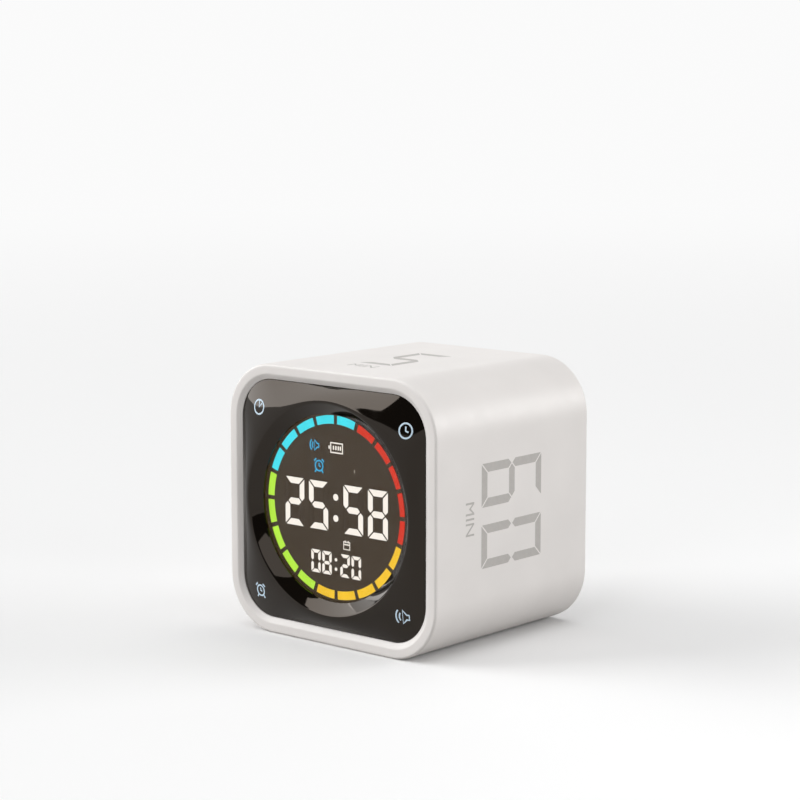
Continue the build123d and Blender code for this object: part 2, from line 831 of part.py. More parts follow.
pieces = [
    housing.part, front_bezel.part, bezel_tape.part, display_window.part, display_mask.part,
    *ring_pieces, *digit_pieces,
    display_board.part, display_leds.part, touch_rings.part, display_screws.part,
    display_socket.part, ribbon_cable.part, main_socket.part,
    main_board.part, board_chips.part, board_screws.part,
    battery_foam.part, battery_cell.part, battery_plug.part, battery_leads.part,
    speaker_frame.part, speaker_cone.part, speaker_magnet.part, speaker_gasket.part, speaker_leads.part,
    usb_shell.part, usb_tongue.part,
    switch_case.part, switch_lever.part, power_knob.part,
    rear_cover.part, cover_screws.part,
]
os.makedirs("parts", exist_ok=True)
for piece in pieces:
    export_step(piece, "parts/" + piece.label + ".step")
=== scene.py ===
"""Looks of a white cube timer with a round lit display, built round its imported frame.

Sizes in the classes are millimetres. A place is given from the display's axis: across to the
right, level upwards, and depth backwards from the front lip. Meshes are in metres.
"""

import logging
import math
from collections.abc import Callable, Sequence
from dataclasses import dataclass, field
from enum import Enum

import bmesh
import bpy
from mathutils import Matrix, Vector


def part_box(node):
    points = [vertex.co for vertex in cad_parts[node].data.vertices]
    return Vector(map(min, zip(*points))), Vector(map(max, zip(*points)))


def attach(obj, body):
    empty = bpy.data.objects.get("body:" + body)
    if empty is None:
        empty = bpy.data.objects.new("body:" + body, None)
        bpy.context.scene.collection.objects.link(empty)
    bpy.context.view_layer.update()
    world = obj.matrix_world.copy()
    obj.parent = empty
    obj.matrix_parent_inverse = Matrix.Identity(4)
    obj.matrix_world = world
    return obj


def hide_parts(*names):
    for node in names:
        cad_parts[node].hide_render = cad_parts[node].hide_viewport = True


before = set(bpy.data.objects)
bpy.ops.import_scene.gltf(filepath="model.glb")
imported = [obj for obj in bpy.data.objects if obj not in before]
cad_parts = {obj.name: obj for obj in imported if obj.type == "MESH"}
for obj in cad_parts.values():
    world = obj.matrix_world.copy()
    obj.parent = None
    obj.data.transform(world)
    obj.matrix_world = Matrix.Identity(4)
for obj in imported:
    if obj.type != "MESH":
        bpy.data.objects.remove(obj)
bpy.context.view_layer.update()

LOG = logging.getLogger("cube_timer")
MM = 0.001
TIMER = "timer"
HOUSING_LOW, HOUSING_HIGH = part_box("housing")
LIP_Y = HOUSING_LOW.y / MM
AXIS_Z = (HOUSING_LOW.z + HOUSING_HIGH.z) / 2 / MM

# Most of a noise pattern lies between these two values.
LOW, HIGH = 0.3, 0.7

Point = tuple[float, float]
Triple = tuple[float, float, float]
Colour = Triple
Shade = tuple[float, float, float, float]
Placer = Callable[[float, float, float], Vector]
Piece = bpy.types.Object
Material = bpy.types.Material
Socket = bpy.types.NodeSocket
Tree = bpy.types.NodeTree


def spot(across: float, depth: float, level: float) -> Vector:
    """Point of the shared frame, in metres.

    Args:
        across: Millimetres to the right of the display's axis.
        depth: Millimetres behind the front lip.
        level: Millimetres above the display's axis.

    Returns:
        The point.
    """
    return Vector((across, LIP_Y + depth, AXIS_Z + level)) * MM


def linear(colour: Colour, share: float = 1.0) -> Shade:
    """Screen colour as a linear shader colour.

    Args:
        colour: Red, green and blue from 0 to 255.
        share: Factor on the linear colour.

    Returns:
        Red, green, blue and alpha.
    """
    parts = [part / 255 for part in colour]
    curve = [part / 12.92 if part <= 0.04045 else ((part + 0.055) / 1.055) ** 2.4 for part in parts]
    return (curve[0] * share, curve[1] * share, curve[2] * share, 1.0)


class Slot(Enum):
    """Slots of the record that the pieces made here belong to."""

    SHELL = "shell_white"
    BEZEL = "bezel_black"
    CYAN = "light_cyan"
    WHITE = "light_white"
    DARK = "light_dark"
    SCREW = "screw_steel"
    USB = "usb_steel"
    KNOB = "knob_grey"


def combine(tree: Tree, operation: str, first: Socket, second: Socket | float) -> Socket:
    """Two values combined by a Math node.

    Args:
        tree: Node tree of a material or of the world.
        operation: Name of the operation.
        first: A pattern.
        second: Another pattern, or a number.

    Returns:
        The value socket.
    """
    node = tree.nodes.new("ShaderNodeMath")
    node.operation = operation
    tree.links.new(first, node.inputs[0])
    if isinstance(second, float):
        node.inputs[1].default_value = second
    else:
        tree.links.new(second, node.inputs[1])
    return node.outputs["Value"]


def ramp(tree: Tree, value: Socket, *stops: tuple[float, Shade]) -> Socket:
    """Pattern turned into colours.

    Args:
        tree: Node tree of a material or of the world.
        value: The pattern.
        stops: Positions and their linear colours.

    Returns:
        The colour socket.
    """
    node = tree.nodes.new("ShaderNodeValToRGB")
    for element, (position, colour) in zip(node.color_ramp.elements, stops, strict=True):
        element.position = position
        element.color = colour
    tree.links.new(value, node.inputs["Fac"])
    return node.outputs["Color"]


class Recipe:
    """Node recipe of one material: a Principled shader fed by patterns on Object coordinates."""

    def __init__(self, name: str) -> None:
        """Start a material.

        Args:
            name: Name of the material.
        """
        self.material = bpy.data.materials.new(name)
        self.material.use_nodes = True
        self.tree = self.material.node_tree
        self.nodes, self.links = self.tree.nodes, self.tree.links
        self.shader = self.nodes["Principled BSDF"]
        self.place = self.nodes.new("ShaderNodeTexCoord").outputs["Object"]

    def fix(self, **values: object) -> None:
        """Set shader sockets that are the same all over.

        Args:
            values: Socket names with underscores for spaces, and their values.
        """
        for name, value in values.items():
            self.shader.inputs[name.replace("_", " ")].default_value = value

    def stretch(self, scale: Triple) -> Socket:
        """Coordinates stretched along the axes.

        Args:
            scale: Factor along each axis.

        Returns:
            The vector socket.
        """
        mapping = self.nodes.new("ShaderNodeMapping")
        mapping.inputs["Scale"].default_value = scale
        self.links.new(self.place, mapping.inputs["Vector"])
        return mapping.outputs["Vector"]

    def noise(self, size: float, detail: float = 3.0, vector: Socket | None = None) -> Socket:
        """Cloudy pattern.

        Args:
            size: Size of its features in millimetres.
            detail: Finer levels that are added.
            vector: Coordinates, if not the piece's own.

        Returns:
            Its value socket, from 0 to 1.
        """
        texture = self.nodes.new("ShaderNodeTexNoise")
        texture.inputs["Scale"].default_value = 1 / (size * MM)
        texture.inputs["Detail"].default_value = detail
        self.links.new(vector or self.place, texture.inputs["Vector"])
        return texture.outputs["Fac"]

    def cells(self, size: float) -> Socket:
        """Cell pattern.

        Args:
            size: Size of its cells in millimetres.

        Returns:
            The distance socket.
        """
        texture = self.nodes.new("ShaderNodeTexVoronoi")
        texture.inputs["Scale"].default_value = 1 / (size * MM)
        self.links.new(self.place, texture.inputs["Vector"])
        return texture.outputs["Distance"]

    def spread(self, value: Socket, low: float, high: float) -> Socket:
        """Pattern stretched between two values.

        Args:
            value: The pattern.
            low: Value where the pattern is low.
            high: Value where it is high.

        Returns:
            The value socket.
        """
        span = self.nodes.new("ShaderNodeMapRange")
        span.inputs["From Min"].default_value = LOW
        span.inputs["From Max"].default_value = HIGH
        span.inputs["To Min"].default_value = low
        span.inputs["To Max"].default_value = high
        self.links.new(value, span.inputs["Value"])
        return span.outputs["Result"]

    def shade(self, value: Socket, colour: Colour, share: float) -> Socket:
        """Pattern turned into a colour that is darker where the pattern is low.

        Args:
            value: The pattern.
            colour: Screen colour where the pattern is high.
            share: Factor on it where the pattern is low.

        Returns:
            The colour socket.
        """
        return ramp(self.tree, value, (LOW, linear(colour, share)), (HIGH, linear(colour)))

    def seen(self) -> Socket:
        """Value of 1 where the surface is looked at, straight or in gloss and glass, else 0.

        Returns:
            The value socket.
        """
        path = self.nodes.new("ShaderNodeLightPath").outputs
        either = combine(self.tree, "MAXIMUM", path["Is Camera Ray"], path["Is Glossy Ray"])
        return combine(self.tree, "MAXIMUM", either, path["Is Transmission Ray"])

    def distance(self, near: float, far: float) -> Socket:
        """Value that grows with the distance from the origin.

        Args:
            near: Distance in metres up to which it is 0.
            far: Distance in metres from which it is 1.

        Returns:
            The value socket.
        """
        length = self.nodes.new("ShaderNodeVectorMath")
        length.operation = "LENGTH"
        self.links.new(self.place, length.inputs[0])
        span = self.nodes.new("ShaderNodeMapRange")
        span.interpolation_type = "SMOOTHSTEP"
        span.inputs["From Min"].default_value = near
        span.inputs["From Max"].default_value = far
        self.links.new(length.outputs["Value"], span.inputs["Value"])
        return span.outputs["Result"]

    def feed(self, source: Socket, socket: str) -> None:
        """Link a pattern to a socket of the shader."""
        self.links.new(source, self.shader.inputs[socket])

    def rough(self, value: Socket, middle: float, less: float, more: float) -> None:
        """Feed the roughness from a pattern.

        Args:
            value: The pattern.
            middle: Usual roughness.
            less: How far it falls where the pattern is low.
            more: How far it rises where the pattern is high.
        """
        self.feed(self.spread(value, middle - less, middle + more), "Roughness")

    def bump(self, value: Socket, height: float, strength: float) -> None:
        """Raise the surface by a pattern.

        Args:
            value: The pattern.
            height: Height of the relief in millimetres.
            strength: How much of it shows.
        """
        relief = self.nodes.new("ShaderNodeBump")
        relief.inputs["Distance"].default_value = height * MM
        relief.inputs["Strength"].default_value = strength
        self.links.new(value, relief.inputs["Height"])
        self.feed(relief.outputs["Normal"], "Normal")


@dataclass(frozen=True)
class MouldedPlastic:
    """Opaque moulded plastic with a fine spark grain."""

    name: str
    colour: Colour
    roughness: float = 0.42
    grain: float = 0.22
    relief: float = 0.004
    drift: float = 0.96
    cloud: float = 14.0
    haze: float = 2.5

    def make(self) -> Material:
        """Build the material."""
        recipe = Recipe(self.name)
        recipe.feed(recipe.shade(recipe.noise(self.cloud), self.colour, self.drift), "Base Color")
        recipe.rough(recipe.noise(self.haze), self.roughness, 0.05, 0.05)
        recipe.bump(recipe.noise(self.grain, 2.0), self.relief, 0.35)
        recipe.fix(IOR=1.5)
        return recipe.material


@dataclass(frozen=True)
class PolishedPlastic:
    """High-gloss plastic with faint haze."""

    name: str
    colour: Colour
    roughness: float = 0.035
    specular: float = 0.5
    sheen: Colour = (255, 255, 255)
    cloud: float = 9.0
    haze: float = 4.0
    wave: float = 6.0

    def make(self) -> Material:
        """Build the material."""
        recipe = Recipe(self.name)
        recipe.feed(recipe.shade(recipe.noise(self.cloud), self.colour, 0.7), "Base Color")
        recipe.rough(recipe.noise(self.haze, 5.0), self.roughness, 0.012, 0.02)
        recipe.bump(recipe.noise(self.wave, 0.0), 0.004, 0.25)
        recipe.fix(IOR=1.5, Specular_IOR_Level=self.specular, Specular_Tint=linear(self.sheen))
        return recipe.material


@dataclass(frozen=True)
class SmokedClear:
    """Smoke-tinted clear plastic."""

    name: str
    tint: Colour
    roughness: float = 0.03
    index: float = 1.25
    haze: float = 5.0

    def make(self) -> Material:
        """Build the material."""
        recipe = Recipe(self.name)
        recipe.fix(Base_Color=linear(self.tint), Transmission_Weight=1.0, IOR=self.index)
        recipe.rough(recipe.noise(self.haze, 4.0), self.roughness, 0.015, 0.015)
        return recipe.material


@dataclass(frozen=True)
class LitPlastic:
    """Plastic that glows: the lit bars, digits and signs have a light behind them, while the glow given to
    the display mask and the unlit digits is painted light.
    """

    name: str
    glow: Colour
    strength: float = 1.0
    body: Colour = (60, 60, 60)
    unevenness: float = 0.9
    cloud: float = 3.0
    grain: float = 0.12

    def make(self) -> Material:
        """Build the material."""
        recipe = Recipe(self.name)
        recipe.fix(Base_Color=linear(self.body), Roughness=0.5, Emission_Strength=self.strength)
        cloud = recipe.noise(self.cloud, 1.0)
        recipe.feed(recipe.shade(cloud, self.glow, self.unevenness), "Emission Color")
        recipe.bump(recipe.noise(self.grain, 1.0), 0.003, 0.3)
        return recipe.material


@dataclass(frozen=True)
class Metal:
    """Brushed or plated metal."""

    name: str
    colour: Colour
    roughness: float = 0.28
    brush: Triple = (1.0, 1.0, 14.0)
    line: float = 1.6

    def make(self) -> Material:
        """Build the material."""
        recipe = Recipe(self.name)
        lines = recipe.noise(self.line, 4.0, recipe.stretch(self.brush))
        recipe.fix(Metallic=1.0)
        recipe.feed(recipe.shade(lines, self.colour, 0.8), "Base Color")
        recipe.rough(lines, self.roughness, 0.08, 0.1)
        recipe.bump(lines, 0.004, 0.3)
        return recipe.material


@dataclass(frozen=True)
class CircuitBoard:
    """Solder mask over copper tracks."""

    name: str
    mask: Colour = (28, 92, 52)
    track: Colour = (44, 122, 70)
    pitch: float = 3.2
    haze: float = 2.0
    edge: Point = (0.3, 0.36)

    def make(self) -> Material:
        """Build the material."""
        recipe = Recipe(self.name)
        tracks = recipe.cells(self.pitch)
        stops = zip(self.edge, (linear(self.mask), linear(self.track)))
        recipe.feed(ramp(recipe.tree, tracks, *stops), "Base Color")
        recipe.rough(recipe.noise(self.haze), 0.35, 0.07, 0.07)
        recipe.bump(tracks, 0.03, 0.3)
        return recipe.material


@dataclass(frozen=True)
class FibreSheet:
    """Matt sheet with visible fibres or pores: paper, foam, rubber."""

    name: str
    colour: Colour
    pore: float = 0.5
    relief: float = 0.06
    roughness: float = 0.85
    haze: float = 1.5
    edge: Point = (0.1, 0.6)

    def make(self) -> Material:
        """Build the material."""
        recipe = Recipe(self.name)
        pores = recipe.cells(self.pore)
        stops = zip(self.edge, (linear(self.colour, 0.72), linear(self.colour)))
        recipe.feed(ramp(recipe.tree, pores, *stops), "Base Color")
        recipe.rough(recipe.noise(self.haze), self.roughness, 0.08, 0.08)
        recipe.bump(pores, self.relief, 0.5)
        return recipe.material


@dataclass(frozen=True)
class PrintedInk:
    """Pad-printed ink, a little uneven in its cover."""

    name: str
    colour: Colour
    roughness: float = 0.5
    glow: float = 0.0
    patch: float = 0.8
    grain: float = 0.2

    def make(self) -> Material:
        """Build the material."""
        recipe = Recipe(self.name)
        cover = recipe.noise(self.patch, 4.0)
        ink = recipe.shade(cover, self.colour, 0.93)
        recipe.feed(ink, "Base Color")
        recipe.rough(cover, self.roughness, 0.06, 0.06)
        if self.glow:
            recipe.feed(ink, "Emission Color")
        recipe.fix(Emission_Strength=self.glow)
        recipe.bump(recipe.noise(self.grain, 2.0), 0.003, 0.3)
        return recipe.material


class Finishes:
    """Every finish of the timer, made once and looked up by name."""

    LIST = (
        MouldedPlastic("shell_white", (246, 242, 239)),
        PolishedPlastic("bezel_black", (10, 6, 3), specular=0.4, sheen=(255, 238, 222)),
        SmokedClear("window_smoke", (205, 203, 200)),
        # Display mask: dark plastic whose emission is painted light, standing in for the light that falls
        # on it through the smoked window.
        LitPlastic("mask_dark", (70, 53, 30), 0.9, (34, 28, 21), 0.95),
        LitPlastic("light_cyan", (60, 228, 247), 1.65, (20, 50, 52)),
        LitPlastic("light_red", (235, 46, 8), 1.3, (50, 14, 8)),
        LitPlastic("light_amber", (249, 202, 33), 1.65, (56, 44, 12)),
        LitPlastic("light_green", (188, 248, 64), 1.6, (40, 54, 16)),
        LitPlastic("light_white", (255, 250, 243), 1.62, (60, 60, 58), 0.97),
        # Unlit digits: their emission is painted light in the mask's colour; no lamp is behind them.
        LitPlastic("light_dark", (70, 53, 30), 0.85, (34, 28, 21), 0.95),
        LitPlastic("sign_blue", (50, 176, 228), 1.6, (14, 40, 52)),
        LitPlastic("sign_dim", (200, 190, 176), 1.3, (40, 36, 32)),
        PrintedInk("sign_frost", (200, 222, 238), 0.35, 0.15),
        PrintedInk("ink_grey", (198, 194, 190)),
        CircuitBoard("board_green"),
        MouldedPlastic("led_package", (226, 222, 200), 0.35),
        FibreSheet("touch_rubber", (48, 48, 50), 0.3, 0.02),
        Metal("screw_steel", (188, 188, 186), 0.3),
        MouldedPlastic("socket_ivory", (226, 216, 190), 0.45),
        MouldedPlastic("ribbon_pale", (214, 210, 200), 0.5),
        MouldedPlastic("chip_black", (26, 26, 28), 0.55),
        FibreSheet("foam_black", (30, 30, 32), 0.4, 0.12),
        Metal("battery_foil", (176, 178, 182), 0.34, (3.0, 1.0, 1.0)),
        MouldedPlastic("lead_red", (178, 34, 30), 0.4),
        MouldedPlastic("speaker_black", (22, 22, 24), 0.5),
        FibreSheet("cone_paper", (52, 48, 44), 0.35, 0.04),
        Metal("magnet_steel", (150, 150, 152), 0.35),
        Metal("usb_steel", (196, 196, 194), 0.22, (1.0, 14.0, 1.0)),
        MouldedPlastic("tongue_black", (20, 20, 22), 0.4),
        Metal("contact_gold", (214, 170, 84), 0.2),
        MouldedPlastic("knob_grey", (128, 128, 130), 0.4),
    )

    def __init__(self) -> None:
        """Make every material."""
        self.made = {finish.name: finish.make() for finish in self.LIST}

    def get(self, name: str) -> Material:
        """Material of that name."""
        return self.made[name]


def clear_selection() -> None:
    """Leave nothing selected, so an operator acts on the new piece alone."""
    bpy.ops.object.select_all(action="DESELECT")


def edit(piece: Piece) -> bmesh.types.BMesh:
    """Open a piece in edit mode with all of it selected.

    Args:
        piece: The piece.

    Returns:
        Its mesh, ready to select in.
    """
    clear_selection()
    bpy.context.view_layer.objects.active = piece
    piece.select_set(True)
    bpy.ops.object.mode_set(mode="EDIT")
    bpy.ops.mesh.select_all(action="SELECT")
    return bmesh.from_edit_mesh(piece.data)


def close_up(piece: Piece, smooth: float = 35.0) -> None:
    """Merge doubles, turn the faces outwards and smooth a piece.

    Args:
        piece: The piece, in object mode.
        smooth: Largest angle between faces that are shaded as one, in degrees.
    """
    edit(piece)
    bpy.ops.mesh.remove_doubles(threshold=0.0005 * MM)
    bpy.ops.mesh.normals_make_consistent(inside=False)
    bpy.ops.object.mode_set(mode="OBJECT")
    bpy.ops.object.shade_smooth_by_angle(angle=math.radians(smooth))


def sweep_rings(rings: Sequence[Sequence[Vector]]) -> Piece:
    """Closed shell through rings of points, extruded from one ring to the next.

    Args:
        rings: Rings with the same number of points. The last is joined to the first.

    Returns:
        The piece.
    """
    clear_selection()
    bpy.ops.mesh.primitive_circle_add(vertices=len(rings[0]), fill_type="NOTHING")
    piece = bpy.context.object
    mesh = edit(piece)
    order = {vertex.index: vertex.index for vertex in mesh.verts}
    for vertex in mesh.verts:
        vertex.co = rings[0][vertex.index]
    for ring in [*rings[1:], rings[0]]:
        bpy.ops.mesh.extrude_edges_move()
        mesh = bmesh.from_edit_mesh(piece.data)
        mesh.verts.index_update()
        fresh = [vertex for vertex in mesh.verts if vertex.select]
        follow = {}
        for vertex in fresh:
            for link in vertex.link_edges:
                other = link.other_vert(vertex)
                if not other.select:
                    follow[vertex.index] = order[other.index]
        for vertex in fresh:
            vertex.co = ring[follow[vertex.index]]
        order = follow
    bmesh.update_edit_mesh(piece.data)
    bpy.ops.object.mode_set(mode="OBJECT")
    close_up(piece)
    return piece


def plate(outline: Sequence[Vector], lift: Vector) -> Piece:
    """Flat plate: a many-sided face on an outline, extruded.

    Args:
        outline: Corners in order.
        lift: Thickness as a vector.

    Returns:
        The piece.
    """
    clear_selection()
    bpy.ops.mesh.primitive_circle_add(vertices=len(outline), fill_type="NGON")
    piece = bpy.context.object
    for vertex, corner in zip(piece.data.vertices, outline):
        vertex.co = corner
    edit(piece)
    bpy.ops.mesh.extrude_region_move(TRANSFORM_OT_translate={"value": lift})
    bpy.ops.object.mode_set(mode="OBJECT")
    close_up(piece)
    return piece


def lay(piece: Piece, place: Placer) -> None:
    """Move every vertex of a flat drawing to its place.

    Args:
        piece: Drawing in millimetres: across, upwards and off the surface.
        place: Function from those to a point of the shared frame.
    """
    for vertex in piece.data.vertices:
        vertex.co = place(*vertex.co)
    piece.data.update()


@dataclass(frozen=True)
class Stroke:
    """Line of a sign, in shares of the sign's height."""

    points: Sequence[Point]
    closed: bool = False


def wire(
    strokes: Sequence[Stroke], size: float, width: float, thickness: float, place: Placer,
) -> Piece:
    """Sign of round-edged lines, laid on a surface.

    Args:
        strokes: Its lines.
        size: Height of the sign.
        width: Width of its lines.
        thickness: How far they stand off the surface.
        place: Function from across, upwards and off the surface to a point of the shared frame.

    Returns:
        The piece.
    """
    curve = bpy.data.curves.new("sign", "CURVE")
    curve.dimensions = "3D"
    curve.bevel_depth = width / 2
    curve.bevel_resolution = 1
    curve.use_fill_caps = True
    for stroke in strokes:
        spline = curve.splines.new("POLY")
        spline.points.add(len(stroke.points) - 1)
        for control, (across, up) in zip(spline.points, stroke.points):
            control.co = (across * size, up * size, 0.0, 1.0)
        spline.use_cyclic_u = stroke.closed
    piece = bpy.data.objects.new("sign", curve)
    bpy.context.scene.collection.objects.link(piece)
    clear_selection()
    piece.select_set(True)
    bpy.context.view_layer.objects.active = piece
    bpy.ops.object.convert(target="MESH")
    piece = bpy.context.object
    lay(piece, lambda across, up, off: place(across, up, (off / width + 0.5) * thickness))
    close_up(piece, smooth=60.0)
    return piece


def join(pieces: Sequence[Piece]) -> Piece:
    """Join several pieces into the first."""
    clear_selection()
    for piece in pieces:
        piece.select_set(True)
    bpy.context.view_layer.objects.active = pieces[0]
    bpy.ops.object.join()
    return pieces[0]


def settle(
    piece: Piece, name: str, material: Material, slot: Slot, stands_for: Sequence[str] = (),
) -> None:
    """Name a finished piece, dress it and let it ride on the timer's body.

    Args:
        piece: The piece.
        name: Its name.
        material: Its finish.
        slot: The record's slot that the finish belongs to; not used.
        stands_for: CAD nodes that it replaces.
    """
    piece.name = name
    piece.data.name = name
    piece.data.materials.clear()
    piece.data.materials.append(material)
    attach(piece, TIMER)
    if stands_for:
        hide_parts(*stands_for)
    LOG.info("piece %s: %d faces", name, len(piece.data.polygons))


def dress(nodes: dict[str, str], finishes: Finishes) -> None:
    """Give carried-over nodes their finishes.

    Args:
        nodes: Name of each node and of its finish.
        finishes: The finishes.
    """
    for node, finish in nodes.items():
        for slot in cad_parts[node].material_slots:
            slot.material = finishes.get(finish)
        LOG.info("node %s: %s", node, finish)


def arc(
    radius: float, start: float, end: float, centre: Point = (0.0, 0.0), steps: int = 24,
) -> list[Point]:
    """Points on an arc.

    Args:
        radius: Its radius.
        start: First angle in degrees.
        end: Last angle in degrees.
        centre: Its centre.
        steps: Number of steps.

    Returns:
        The points, both ends included.
    """
    angles = [math.radians(start + (end - start) * step / steps) for step in range(steps + 1)]
    right, up = centre
    return [(right + radius * math.cos(angle), up + radius * math.sin(angle)) for angle in angles]


@dataclass
class SoftSquare:
    """Rounded square outlines that run parallel to the housing."""

    half: float = 30.0
    corner: float = 12.5
    corner_steps: int = 20
    flat_steps: int = 6
    support: float = 0.5

    def outline(self, half_width: float) -> list[Point]:
        """Points of one outline, counter-clockwise from the middle of the right side.

        Args:
            half_width: Half the width across its flats.

        Returns:
            Across and level of each point.
        """
        radius = self.corner - (self.half - half_width)
        flat = half_width - radius
        inner = flat - self.support
        run = [inner * (2 * step / self.flat_steps - 1) for step in range(self.flat_steps + 1)]
        points = []
        for quarter in range(4):
            side = [(half_width, level) for level in run]
            side += arc(radius, 0, 90, (flat, flat), self.corner_steps)
            turn = math.radians(90 * quarter)
            for across, level in side:
                points.append((
                    across * math.cos(turn) - level * math.sin(turn),
                    across * math.sin(turn) + level * math.cos(turn),
                ))
        return points

    def ring(self, half_width: float, depth: float) -> list[Vector]:
        """Ring of points at a depth."""
        return [spot(across, depth, level) for across, level in self.outline(half_width)]


@dataclass
class Housing:
    """White square tube with a flat lip and a bevel round the bezel."""

    half: float = 30.0
    depth: float = 52.5
    wall: float = 2.2
    front_edge: float = 0.6
    back_edge: float = 0.8
    crest: float = 27.8
    recess: float = 26.6
    bevel_depth: float = 0.8
    ledge: float = 25.0
    ledge_front: float = 2.7
    ledge_back: float = 4.7
    crest_round: float = 0.12
    support: float = 0.3
    shape: SoftSquare = field(default_factory=SoftSquare)

    def profile(self) -> list[Point]:
        """Half width and depth along the wall's section, from the lip outwards and round.

        Returns:
            The section's points.
        """
        half, depth, soft, support = self.half, self.depth, self.crest_round, self.support
        front, back = half - self.front_edge, half - self.back_edge
        inner = half - self.wall
        slope = self.bevel_depth / (self.crest - self.recess)
        section = [(self.crest + soft, 0.0), (self.crest + 2 * soft, 0.0), (front - support, 0.0)]
        section += arc(self.front_edge, -90, 0, (front, self.front_edge), 8)
        section += [(half, self.front_edge + support), (half, depth - self.back_edge - support)]
        section += arc(self.back_edge, 0, 90, (back, depth - self.back_edge), 8)
        section += [(back - support, depth), (inner, depth), (inner, depth - support)]
        section += [(inner, self.ledge_back), (self.ledge, self.ledge_back)]
        section += [(self.ledge, self.ledge_front), (self.recess, self.ledge_front)]
        section += [(self.recess, self.bevel_depth + soft)]
        section += [(self.recess + soft * 0.3, self.bevel_depth - soft * 0.2)]
        section += [(self.crest - 2 * soft, 2 * soft * slope), (self.crest - soft * 0.4, soft * 0.35)]
        return section

    def build(self, finishes: Finishes) -> None:
        """Build the tube in the place of its node."""
        piece = sweep_rings([self.shape.ring(half, depth) for half, depth in self.profile()])
        settle(piece, "housing_shell", finishes.get("shell_white"), Slot.SHELL, stands_for=["housing"])


@dataclass
class Bezel:
    """Glossy black pillow that rises from a square edge to a round rim, with a dish inside it."""

    half: float = 26.5
    back: float = 2.4
    edge_depth: float = 0.8
    rise: float = 0.9
    rim: float = 23.5
    dish: float = 23.1
    throat: float = 20.6
    dish_depth: float = 1.9
    window_depth: float = 1.3
    counterbore: float = 22.1
    fullness: float = 1.64
    edge_round: float = 0.26
    pillow_steps: int = 18
    shape: SoftSquare = field(
        default_factory=lambda: SoftSquare(corner_steps=16, flat_steps=18, support=0.0),
    )

    def blend(self, share: float, across: float, level: float) -> Point:
        """Point between the square edge and the round rim.

        Args:
            share: 0 at the edge, 1 at the rim.
            across: Place on the edge.
            level: Place on the edge.

        Returns:
            The point's across and level.
        """
        reach = math.hypot(across, level)
        factor = ((1 - share) * reach + share * self.rim) / reach
        return across * factor, level * factor

    def pillow_depth(self, share: float) -> float:
        """Depth of the pillow's surface between its edge and its rim."""
        return self.edge_depth - (self.edge_depth + self.rise) * (1 - (1 - share) ** self.fullness)

    def edge_reach(self, across: float, level: float) -> float:
        """Distance from the axis to the square edge, in the direction of a place.

        Args:
            across: Across of the place.
            level: Level of the place.

        Returns:
            The distance.
        """
        radius = self.shape.corner - (self.shape.half - self.half)
        flat = self.half - radius
        long, short = max(abs(across), abs(level)), min(abs(across), abs(level))
        reach = math.hypot(long, short)
        along = short / long * self.half
        if along <= flat:
            return reach / long * self.half
        dot = (long + short) / reach * flat
        return dot + math.sqrt(dot * dot - 2 * flat * flat + radius * radius)

    def surface(self, across: float, level: float) -> float:
        """Depth of the pillow at a place outside the rim.

        Args:
            across: Across of the place.
            level: Level of the place.

        Returns:
            The depth.
        """
        edge = self.edge_reach(across, level)
        share = (edge - math.hypot(across, level)) / (edge - self.rim)
        return self.pillow_depth(min(max(share, 0.0), 1.0))

    def round_ring(self, radius: float, depth: float) -> list[Vector]:
        """Round ring with a point in the direction of each point of the square edge.

        Args:
            radius: Its radius.
            depth: Its depth.

        Returns:
            The points.
        """
        outline = self.shape.outline(self.half)
        scales = [radius / math.hypot(across, level) for across, level in outline]
        return [spot(a * scale, depth, b * scale) for (a, b), scale in zip(outline, scales)]

    def build(self, finishes: Finishes) -> None:
        """Build the bezel in the place of its node."""
        edge = self.shape.outline(self.half)
        soft = self.edge_round
        rings = [self.shape.ring(self.half, depth) for depth in (self.back, self.edge_depth + soft)]
        for step in range(self.pillow_steps + 1):
            share = step / self.pillow_steps
            depth = self.pillow_depth(share)
            points = [self.blend(share, across, level) for across, level in edge]
            rings.append([spot(across, depth, level) for across, level in points])
        slope = self.dish_depth / (self.dish - self.throat)
        run = 1 / math.hypot(1, slope)
        foot = self.dish_depth - self.rise
        rounds = (
            (self.dish + soft, -self.rise),
            (self.dish + soft * 0.35, -self.rise + soft * 0.08),
            (self.dish - soft * 0.3, -self.rise + soft * 0.35),
            (self.dish - soft * run, -self.rise + soft * slope * run),
            (self.throat + soft * run, foot - soft * slope * run),
            (self.throat, foot),
            (self.throat, self.window_depth),
            (self.counterbore, self.window_depth),
            (self.counterbore, self.back),
        )
        rings += [self.round_ring(radius, depth) for radius, depth in rounds]
        piece = sweep_rings(rings)
        settle(piece, "bezel_pillow", finishes.get("bezel_black"), Slot.BEZEL, stands_for=["front_bezel"])


class Sign(Enum):
    """Signs on the bezel and in the display."""

    GAUGE = "gauge"
    CLOCK = "clock"
    ALARM = "alarm"
    SOUND = "sound"
    BATTERY = "battery"
    CALENDAR = "calendar"
    TICK = "tick"


